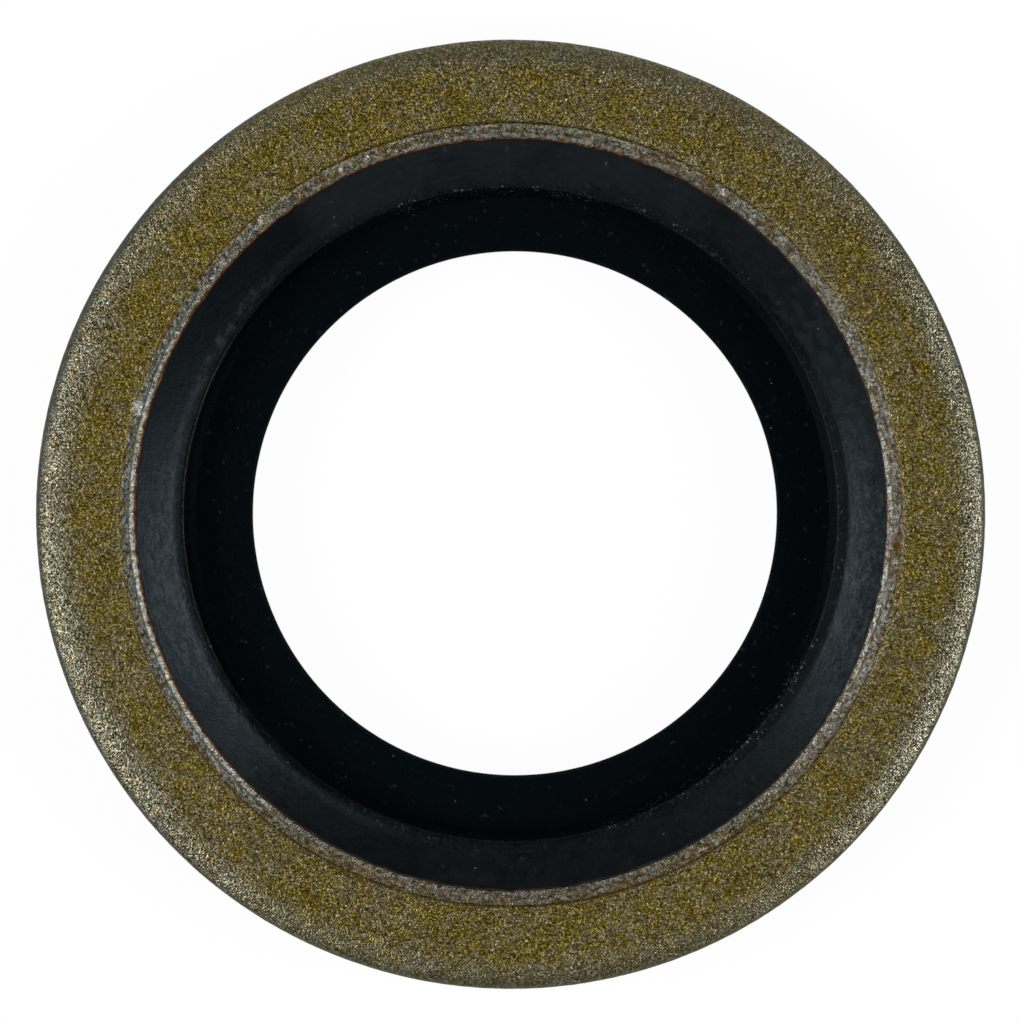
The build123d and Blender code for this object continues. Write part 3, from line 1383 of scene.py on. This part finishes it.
@dataclass
class MouldedSeal:
    """The moulded rubber seal: a lip on each face and a thin web across the middle.

    Attributes:
        bore: The steel's bore, which the rubber is bonded to.
        bottom: The height of the lower crest.
        top: The height of the upper crest.
        upper_root: The height at which the upper flank leaves the steel.
        lower_root: The height at which the lower flank leaves the steel.
        segments: The number of vertices round the seal.
        edge_angle: The angle in degrees past which an edge stays sharp.
        web_shift: How far the web's free edge lies off the axis, along X and Y.
    """

    bore: float
    bottom: float
    top: float
    upper_root: float
    lower_root: float
    segments: int = 960
    edge_angle: float = 35.0
    web_shift: tuple[float, float] = (0.0917 * MM, 0.0212 * MM)
    lip_band_width: float = 1.29 * MM
    crest_width: float = 0.20 * MM
    crest_round: float = 0.06 * MM
    crest_edge: float = 0.008 * MM
    crest_band: float = 0.1 * MM
    flank_bulge: float = 0.018 * MM
    throat_lean: float = 0.21 * MM
    throat_sway: float = 0.4
    web_reach: float = 1.18 * MM
    web_thickness: float = 0.50 * MM
    web_edge_break: float = 0.06 * MM
    ragged_depth: float = 0.9 * MM
    ragged_radii: tuple[float, float] = (6.6 * MM, 7.4 * MM)
    trimmed_height: float = 6 * MICRON
    torn_height: float = 18 * MICRON
    calm_height: float = 2.0 * MICRON
    bloom_and_light_arcs: Arcs = (Arc(92, 22, 25), Arc(200, 35, 30, 0.6), Arc(40, 25, 30, 0.2))
    bloom_least: float = 0.3
    crest_bloom_and_light: Arc = Arc(358, 20, 16, 0.75)
    glossy_flank: Arc = Arc(200, 35, 15, 0.1)
    dull_shaded_flank: Arc = Arc(358, 12, 22)
    scuffed_arcs: Arcs = (Arc(154, 12, 14), Arc(24, 10, 14, 0.4), Arc(200, 24, 20, 0.45))
    scuffed_least: float = 0.12
    crest_edge_highlight_arcs: Arcs = (Arc(168, 16, 7, 0.85), Arc(196, 14, 6, 0.4), Arc(350, 10, 6, 0.25))
    crest_flat_highlight_arcs: Arcs = (Arc(184, 26, 16, 0.24), Arc(358, 24, 16, 0.08))
    under_highlight_shade_arcs: Arcs = (Arc(170, 42, 6), Arc(241, 12, 5, 0.6))
    crest_shade_arcs: Arcs = (Arc(180, 30, 8, 0.9), Arc(352, 12, 8, 0.3))
    dark_crest: Arc = Arc(226, 12, 10)
    finish: SealRubberFinish = field(default_factory=SealRubberFinish)

    @property
    def throat(self) -> float:
        """Gives the radius at the foot of the lips' inner walls."""
        return self.bore - self.lip_band_width

    @property
    def crest_inner(self) -> float:
        """Gives the radius of the crests' inner edge."""
        return self.throat + self.throat_lean

    @property
    def crest_outer(self) -> float:
        """Gives the radius of the crests' outer edge."""
        return self.crest_inner + self.crest_width

    def half(self, upper: bool) -> list[Station]:
        """Walks along one half of the section, from the steel over the crest to the web's edge.

        Args:
            upper: Whether it is the upper half.

        Returns:
            The half's stations, from the bore to the straight part of the web's edge.
        """
        side = 1 if upper else -1
        crest = self.top if upper else self.bottom
        root = self.upper_root if upper else self.lower_root
        web = (self.top + self.bottom) / 2 + side * self.web_thickness / 2
        inner, outer, soft, edge = self.crest_inner, self.crest_outer, self.crest_round, self.crest_edge
        wall_slope = self.throat_lean / abs(crest - web)
        flank_slope = abs(crest - root) / (self.bore - outer)
        fine = 1.0 if upper else 0.5
        path = [Station(self.bore, root)]
        flank_end = Station(outer + soft, crest - side * flank_slope * soft)
        for station in straight(path[0], flank_end, round(16 * fine)):
            share = (self.bore - station.radius) / (self.bore - outer)
            lift = side * self.flank_bulge * 4 * share * (1 - share)
            path.append(Station(station.radius, station.height + lift))
        path += rounded(path[-1], Station(outer, crest), Station(outer - soft, crest), 4)
        path += straight(path[-1], Station(inner + edge, crest), 4)
        wall_start = Station(inner - wall_slope * edge, crest - side * edge)
        path += rounded(path[-1], Station(inner, crest), wall_start, 3)
        free = self.throat - self.web_reach
        return walked(
            path,
            (Station(self.throat, web, self.throat_sway), round(14 * fine)),
            (Station(free + self.web_edge_break, web, 1), round(18 * fine)),
            (Station(free, web - side * self.web_edge_break, 1), 2),
        )

    def stations(self) -> list[Station]:
        """Walks round the whole section.

        Returns:
            The section's stations in order.
        """
        lower = self.half(upper=False)
        path = walked(self.half(upper=True), (lower[-1], 3))
        path += reversed(lower[:-1])
        return walked(path, (path[0], 2))[:-1]

    def rag_at(self, place: Place) -> float:
        """Gives the depth of the roughness at a place on the upper lip.

        Args:
            place: A place on the seal.

        Returns:
            The depth in metres.
        """
        low, high = self.ragged_radii
        if place.height < self.top - self.ragged_depth or not low < place.radius < high:
            return 0.0
        trimmed = near(place.radius, self.crest_inner, 0.02 * MM, 0.07 * MM) * self.trimmed_height
        return max(trimmed, *(ragged.depth_at(place) for ragged in RAGGED_ARCS))

    def relief(self, place: Place) -> float:
        """Gives the height of the rubber's small unevenness over the plain form, in metres."""
        rag = place.cloud(0.07 * MM) + 0.6 * place.cloud(0.16 * MM)
        return place.cloud(0.8 * MM) * self.calm_height + rag * self.rag_at(place)

    def on_crest_side(self, place: Place) -> float:
        """Rises from 0 at the crest's inner edge to 1 at its outer edge, and stays 1 on the flank."""
        return ease(self.crest_inner, self.crest_outer, place.radius)

    def bloom_and_light_at(self, place: Place) -> float:
        """Gives the strength of the grey bloom on the upper lip at a place; on the left flank and the right
        crest it is also painted light.

        Args:
            place: A place on the seal.

        Returns:
            From 0 to 1.
        """
        lip = ease(self.crest_inner - 0.05 * MM, self.crest_outer, place.radius)
        lip *= strongest(place, self.bloom_and_light_arcs, self.bloom_least)
        crest = self.crest_bloom_and_light.at(place) * ease(7.5 * MM, 7.36 * MM, place.radius)
        return max(lip, crest, 0.5 * self.torn_at(place))

    def torn_at(self, place: Place) -> float:
        """Gives how far the rubber is torn to crumbs at a place, from 0 to 1."""
        patchy = ease(-0.25, 0.2, place.cloud(0.45 * MM))
        return patchy * min(1.0, max(0.0, self.rag_at(place) / self.torn_height - 0.2))

    def dull_at(self, place: Place) -> float:
        """Gives how dull the rubber is at a place, and its painted shade.

        The right flank near the steel is duller and darkened as painted shade, the left flank is a little
        smoother and lighter, and the lips' inner walls and the web are smoother, in the web's colour.

        Args:
            place: A place on the seal.

        Returns:
            Up to 1 where the rubber is dull, and less than 0 where it is smoother than usual.
        """
        below = ease(self.top - 0.02 * MM, self.top - 0.12 * MM, place.height)
        inside = ease(self.crest_inner + 0.02 * MM, self.crest_inner - 0.01 * MM, place.radius)
        wall = ease(self.throat - 0.08 * MM, self.throat - 0.03 * MM, place.radius)
        right = self.dull_shaded_flank.at(place)
        right *= 0.72 * ease(7.33 * MM, 7.95 * MM, place.radius) - 0.3
        flank = (right - self.glossy_flank.at(place)) * self.on_crest_side(place)
        return below * inside * (0.1 * wall - 0.7) + flank

    def scuffed_at(self, place: Place) -> float:
        """Gives how scuffed the upper flank is at a place, from 0 to 1."""
        scuffed = strongest(place, self.scuffed_arcs, self.scuffed_least)
        return scuffed * self.on_crest_side(place) if place.height > self.upper_root else 0.0

    def crest_highlight_at(self, place: Place) -> float:
        """Gives the strength of the painted highlight on the upper crest: a pale line on its inner edge, and
        its flat on the lamp sides.

        Args:
            place: A place on the seal.

        Returns:
            From 0 to 1.
        """
        if place.height < self.top - self.crest_band:
            return 0.0
        line = near(place.radius, self.crest_inner + 0.01 * MM, 0.008 * MM, 0.030 * MM)
        line *= strongest(place, self.crest_edge_highlight_arcs)
        # Painted highlight on the crest's flat, on the lamp sides.
        worn = strongest(place, self.crest_flat_highlight_arcs)
        worn *= ease(self.crest_inner + 0.02 * MM, self.crest_inner + 0.10 * MM, place.radius)
        return max(line, worn * ease(self.crest_outer + 0.05 * MM, self.crest_outer, place.radius))

    def shade_at(self, place: Place) -> float:
        """Gives the strength of the painted shade: dark lines under the crest's painted highlight and beside
        it on the crest, and a darker stretch of the crest.

        Args:
            place: A place on the seal.

        Returns:
            From 0 to 1.
        """
        below = strongest(place, self.under_highlight_shade_arcs)
        below *= ease(self.top - 0.03 * MM, self.top - 0.06 * MM, place.height)
        below *= ease(self.crest_inner - 0.14 * MM, self.crest_inner - 0.09 * MM, place.radius)
        crest_shade = near(place.radius, self.crest_inner + 0.045 * MM, 0.012 * MM, 0.028 * MM)
        crest_shade *= strongest(place, self.crest_shade_arcs)
        dark = ease(self.crest_outer, self.crest_inner + 0.04 * MM, place.radius)
        dark *= self.dark_crest.at(place)
        crest = ease(self.top - self.crest_band, self.top - 0.05 * MM, place.height)
        return max(below, max(crest_shade, dark) * crest)

    def build(self) -> bpy.types.Object:
        """Lathes the seal, paints its marks and raises its relief.

        Returns:
            The finished seal.
        """
        marks = {
            Mark.BLOOM: self.bloom_and_light_at,
            Mark.DULL: self.dull_at,
            Mark.BARE: self.crest_highlight_at,
            Mark.CREASED: self.shade_at,
            Mark.TORN: self.torn_at,
            Mark.SCUFFED: self.scuffed_at,
        }
        piece = Lathe(self.segments, self.web_shift).turn("moulded_seal", self.stations())
        raise_relief(piece, paint(piece, marks), self.relief)
        smooth(piece, self.edge_angle, self.finish.material())
        return piece


# ------------------------------------------------------------------------------ studio


@dataclass(frozen=True)
class SoftBox:
    """A square soft lamp that looks at the washer.

    Attributes:
        name: The lamp's name.
        azimuth: Where it stands, in degrees from +X towards +Y.
        elevation: How high it stands, in degrees over the floor.
        distance: How far it is from the washer in metres.
        size: Its side in metres.
        power: Its power in watts.
    """

    name: str
    azimuth: float
    elevation: float
    distance: float
    size: float
    power: float

    def hang(self) -> None:
        """Adds the lamp to the scene, aimed at the washer."""
        lamp = bpy.data.lights.new(self.name, "AREA")
        lamp.shape = "SQUARE"
        lamp.size = self.size
        lamp.energy = self.power
        turn, rise = math.radians(self.azimuth), math.radians(self.elevation)
        aim = Vector((math.cos(rise) * math.cos(turn), math.cos(rise) * math.sin(turn), math.sin(rise)))
        holder = bpy.data.objects.new(self.name, lamp)
        holder.location = aim * self.distance
        holder.rotation_euler = aim.to_track_quat("Z", "Y").to_euler()
        bpy.context.scene.collection.objects.link(holder)


@dataclass(frozen=True)
class Studio:
    """The floor, the lamps and the camera that looks straight down.

    Attributes:
        washer_radius: The washer's outer radius in metres.
        widest_height: The height at which it is widest.
        washer_span: The washer's width in the picture in pixels.
        washer_centre: The washer's centre in the picture in pixels, from its top left corner.
        camera_distance: From the lens to the washer in metres.
        sensor_width: The camera's sensor in millimetres.
        clipping: The nearest and the farthest thing that the camera sees, in metres.
        floor_paper: The floor's own colour.
        floor_glow: How much of the floor that is seen glows plain white.
        ceiling_edge: The upward share of a direction where the walls end and the ceiling starts.
    """

    washer_radius: float
    widest_height: float
    picture_width: int = 1020
    picture_height: int = 1024
    washer_span: float = 949.4
    washer_centre: tuple[float, float] = (510.63, 514.27)
    camera_distance: float = 0.25
    sensor_width: float = 36.0
    clipping: tuple[float, float] = (0.01, 10.0)
    floor_size: float = 1.2
    floor_paper: Colour = (0.95, 0.95, 0.95, 1.0)
    floor_glow: float = 0.96
    ceiling_edge: tuple[float, float] = (0.6, 0.97)
    wall_glow: float = 0.5
    back_wall_gain: float = 0.42
    ceiling_glow: float = 0.04
    lamps: tuple[SoftBox, ...] = (
        SoftBox("left_soft_box", 192, 50, 0.30, 0.15, 0.50),
        SoftBox("left_high_soft_box", 200, 62, 0.30, 0.12, 0.05),
        SoftBox("right_soft_box", 350, 40, 0.30, 0.15, 0.50),
    )

    def lay_floor(self) -> None:
        """Lays a plain white floor that keeps a little of the washer's shadow.

        Rays from the camera, from a reflection or through a clear piece see most of it glow white.
        """
        bpy.ops.object.select_all(action="DESELECT")
        bpy.ops.mesh.primitive_plane_add(size=self.floor_size)
        floor = bpy.context.active_object
        floor.name = "floor"
        material = bpy.data.materials.new("white_floor")
        material.use_nodes = True
        nodes = Nodes(material.node_tree)
        ray = nodes.add("LightPath", {}).outputs
        seen = nodes.math("MAXIMUM", ray["Is Camera Ray"], ray["Is Glossy Ray"])
        seen = nodes.math("MAXIMUM", seen, ray["Is Transmission Ray"])
        paper = nodes.add("BsdfDiffuse", {"Color": self.floor_paper}).outputs["BSDF"]
        glow = nodes.add("Emission", {"Color": WHITE}).outputs["Emission"]
        share = nodes.math("MULTIPLY", seen, self.floor_glow)
        blend = nodes.add("MixShader", {"Fac": share, 1: paper, 2: glow})
        nodes.add("OutputMaterial", {"Surface": blend.outputs["Shader"]})
        floor.data.materials.append(material)

    def light_world(self) -> None:
        """Lights the studio's walls evenly under a dark ceiling, and shows the camera plain white."""
        world = bpy.data.worlds.new("studio")
        world.use_nodes = True
        bpy.context.scene.world = world
        nodes = Nodes(world.node_tree)
        way = nodes.add("SeparateXYZ", {"Vector": nodes.add("TexCoord", {}).outputs["Generated"]}).outputs
        glow = nodes.spread(way["Z"], *self.ceiling_edge, self.wall_glow, self.ceiling_glow, "SMOOTHSTEP")
        lit = nodes.math("MULTIPLY", glow, nodes.math("MULTIPLY_ADD", way["Y"], self.back_wall_gain, 1.0))
        strength = nodes.spread(nodes.add("LightPath", {}).outputs["Is Camera Ray"], 0.0, 1.0, lit)
        sky = nodes.add("Background", {"Color": WHITE, "Strength": strength})
        nodes.add("OutputWorld", {"Surface": sky.outputs["Background"]})

    def place_camera(self) -> None:
        """Hangs the camera straight over the washer, with the washer where the picture has it."""
        metres_per_pixel = 2 * self.washer_radius / self.washer_span
        camera = bpy.data.cameras.new("camera")
        camera.sensor_fit = "HORIZONTAL"
        camera.sensor_width = self.sensor_width
        camera.lens = self.sensor_width * self.camera_distance / (self.picture_width * metres_per_pixel)
        camera.clip_start, camera.clip_end = self.clipping
        holder = bpy.data.objects.new("camera", camera)
        right = self.washer_centre[0] - self.picture_width / 2
        down = self.washer_centre[1] - self.picture_height / 2
        height = self.widest_height + self.camera_distance
        holder.location = (-right * metres_per_pixel, down * metres_per_pixel, height)
        bpy.context.scene.collection.objects.link(holder)
        bpy.context.scene.camera = holder

    def build(self) -> None:
        """Sets up the whole studio."""
        self.lay_floor()
        self.light_world()
        for lamp in self.lamps:
            lamp.hang()
        self.place_camera()
        bpy.context.scene.view_settings.view_transform = "Standard"


# ------------------------------------------------------------------------------ assembly


def report(piece: bpy.types.Object) -> None:
    """Logs a finished piece's name, triangles and size."""
    triangles = sum(len(polygon.vertices) - 2 for polygon in piece.data.polygons)
    width, depth, height = (round(side / MM, 3) for side in piece.dimensions)
    log.info("%s: %d triangles, %s x %s x %s mm", piece.name, triangles, width, depth, height)


def attach(piece: bpy.types.Object, slot: Slot, *nodes: str) -> None:
    """Fixes a piece to the washer's body, hides the solids that it replaces, and logs it.

    Args:
        piece: The piece.
        slot: The material slot that its finish belongs to. Not used.
        nodes: The solids that it replaces, if any.
    """
    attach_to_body(piece, "root")
    if nodes:
        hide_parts(*nodes)
    report(piece)


def main() -> None:
    """Builds the washer and its studio."""
    logging.basicConfig(level=logging.INFO, format="%(name)s: %(message)s")
    ring_low, ring_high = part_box("metal_ring")
    seal_low, seal_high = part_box("rubber_seal")
    bore = seal_high.x

    ring = PlatedRing(bore=bore, outer=ring_high.x, bottom=ring_low.z, top=ring_high.z)
    attach(ring.build(), Slot.STEEL, "metal_ring")

    seal = MouldedSeal(bore, seal_low.z, seal_high.z, ring.burr_top, ring.lower_land)
    attach(seal.build(), Slot.RUBBER, "rubber_seal")

    attach(BondLine("upper_bond_line", bore, ring.burr_top, 1).build(), Slot.RUBBER)
    attach(BondLine("lower_bond_line", bore, ring.lower_land, -1).build(), Slot.RUBBER)

    Studio(ring.outer, ring.roll_end).build()


if __name__ == "__main__":
    main()
